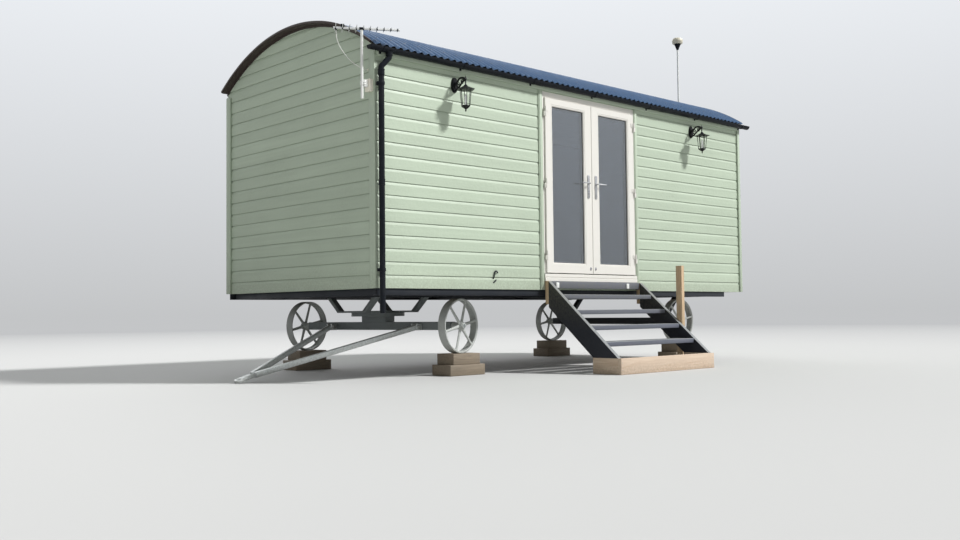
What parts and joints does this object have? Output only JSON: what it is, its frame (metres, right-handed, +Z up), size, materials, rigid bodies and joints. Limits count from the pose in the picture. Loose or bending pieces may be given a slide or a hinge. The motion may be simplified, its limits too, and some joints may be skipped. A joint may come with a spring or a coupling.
{
  "type": "shepherds hut",
  "caption": "Timber hut with a curved corrugated roof on cast wheels, with glazed double doors, steps, drawbar and wall lanterns.",
  "frame": {"origin": "on the ground, in the middle of the whole footprint", "axes": "+X along the hut from the drawbar end, +Y from the door side to the rear, +Z up"},
  "size_m": [6.4824, 3.4772, 4.123],
  "materials": {
    "sage_boards": "painted boards, satin",
    "sage_trim": "painted timber, satin",
    "fascia_brown": "stained timber, satin",
    "floor_timber": "bare boards",
    "roof_deck": "plain boards under the sheet",
    "roof_blue": "glossy corrugated sheet",
    "rainwater_black": "black, satin",
    "cream_joinery": "painted joinery, satin",
    "door_glass": "dark reflecting panes",
    "door_metal": "satin metal",
    "chassis_steel": "painted steel",
    "wheel_iron": "painted casting",
    "drawbar_zinc": "galvanised steel",
    "packer_timber": "rough sawn timber",
    "step_anthracite": "painted timber",
    "base_pine": "new sawn timber",
    "newel_timber": "sawn timber",
    "lantern_black": "black, satin",
    "lantern_glass": "clear panes",
    "aerial_white": "white tube",
    "aerial_metal": "bare metal",
    "cable_white": "white sheath",
    "dome_cream": "cream moulding"
  },
  "bodies": {
    "hut": {"front_wall_left": "sage_boards", "front_wall_right": "sage_boards", "front_wall_head": "sage_boards", "front_wall_sill": "sage_boards", "rear_wall": "sage_boards", "left_end_wall": "sage_boards", "right_end_wall": "sage_boards", "corner_trims": "sage_trim", "front_corner_strip": "sage_trim", "door_trims": "sage_trim", "eaves_fascias": "sage_trim", "roof_verges": "fascia_brown", "floor": "floor_timber", "roof_deck": "roof_deck", "roof_sheet": "roof_blue", "gutter": "rainwater_black", "downpipe": "rainwater_black", "downpipe_clips": "rainwater_black", "door_jambs": "cream_joinery", "door_head": "cream_joinery", "door_sill": "cream_joinery", "door_hinge_plates": "door_metal", "chassis_rails": "chassis_steel", "chassis_members": "chassis_steel", "turntable_upper": "chassis_steel", "rear_axle": "chassis_steel", "wheel_packers_lower": "packer_timber", "wheel_packers_upper": "packer_timber", "step_stringer_left": "step_anthracite", "step_stringer_right": "step_anthracite", "step_treads": "step_anthracite", "step_base": "base_pine", "newel_post": "newel_timber", "lantern_left": "lantern_black", "lantern_right": "lantern_black", "lantern_glass": "lantern_glass", "aerial_mast": "aerial_white", "aerial_fixings": "aerial_white", "aerial_boom": "aerial_metal", "dome_mast": "aerial_metal", "aerial_cable": "cable_white", "dome_head": "dome_cream"},
    "door_left": {"door_leaf_left": "cream_joinery", "door_glass_left": "door_glass", "door_fittings_left": "door_metal"},
    "lever_left": {"door_lever_left": "door_metal"},
    "door_right": {"door_leaf_right": "cream_joinery", "door_glass_right": "door_glass", "door_fittings_right": "door_metal"},
    "lever_right": {"door_lever_right": "door_metal"},
    "front_axle": {"front_axle_beam": "chassis_steel", "drawbar_brackets": "chassis_steel"},
    "drawbar": {"drawbar_rail_left": "drawbar_zinc", "drawbar_rail_right": "drawbar_zinc", "towing_eye": "drawbar_zinc"},
    "wheel_front_left": {"wheel_front_left": "wheel_iron"},
    "wheel_front_right": {"wheel_front_right": "wheel_iron"},
    "wheel_rear_left": {"wheel_rear_left": "wheel_iron"},
    "wheel_rear_right": {"wheel_rear_right": "wheel_iron"}
  },
  "joints": [
    {"name": "door_left_hinge", "type": "hinge", "parent": "hut", "child": "door_left", "pos_m": [-0.3878, -0.82742, 1.841], "axis": [0, 0, -1], "range_deg": [0, 90]},
    {"name": "door_right_hinge", "type": "hinge", "parent": "hut", "child": "door_right", "pos_m": [0.9922, -0.82742, 1.841], "axis": [0, 0, 1], "range_deg": [0, 90]},
    {"name": "lever_left_turn", "type": "hinge", "parent": "door_left", "child": "lever_left", "pos_m": [0.2442, -0.83642, 1.88], "axis": [0, 1, 0], "range_deg": [-40, 40]},
    {"name": "lever_right_turn", "type": "hinge", "parent": "door_right", "child": "lever_right", "pos_m": [0.3602, -0.83642, 1.88], "axis": [0, 1, 0], "range_deg": [-40, 40]},
    {"name": "front_axle_steer", "type": "hinge", "parent": "hut", "child": "front_axle", "pos_m": [-1.4788, 0.46108, 0.55], "axis": [0, 0, 1], "range_deg": [-40.9, 19.1]},
    {"name": "drawbar_lift", "type": "hinge", "parent": "front_axle", "child": "drawbar", "pos_m": [-1.56227, 0.44501, 0.446], "axis": [-0.1891, 0.982, 0], "range_deg": [0, 25]},
    {"name": "wheel_front_left_spin", "type": "hinge", "parent": "front_axle", "child": "wheel_front_left", "pos_m": [-1.28971, -0.52087, 0.4543], "axis": [-0.1891, 0.982, 0], "continuous": true},
    {"name": "wheel_front_right_spin", "type": "hinge", "parent": "front_axle", "child": "wheel_front_right", "pos_m": [-1.6679, 1.44304, 0.4543], "axis": [-0.1891, 0.982, 0], "continuous": true},
    {"name": "wheel_rear_left_spin", "type": "hinge", "parent": "hut", "child": "wheel_rear_left", "pos_m": [2.1152, -0.53892, 0.4543], "axis": [0, 1, 0], "continuous": true},
    {"name": "wheel_rear_right_spin", "type": "hinge", "parent": "hut", "child": "wheel_rear_right", "pos_m": [2.1152, 1.46108, 0.4543], "axis": [0, 1, 0], "continuous": true}
  ]
}
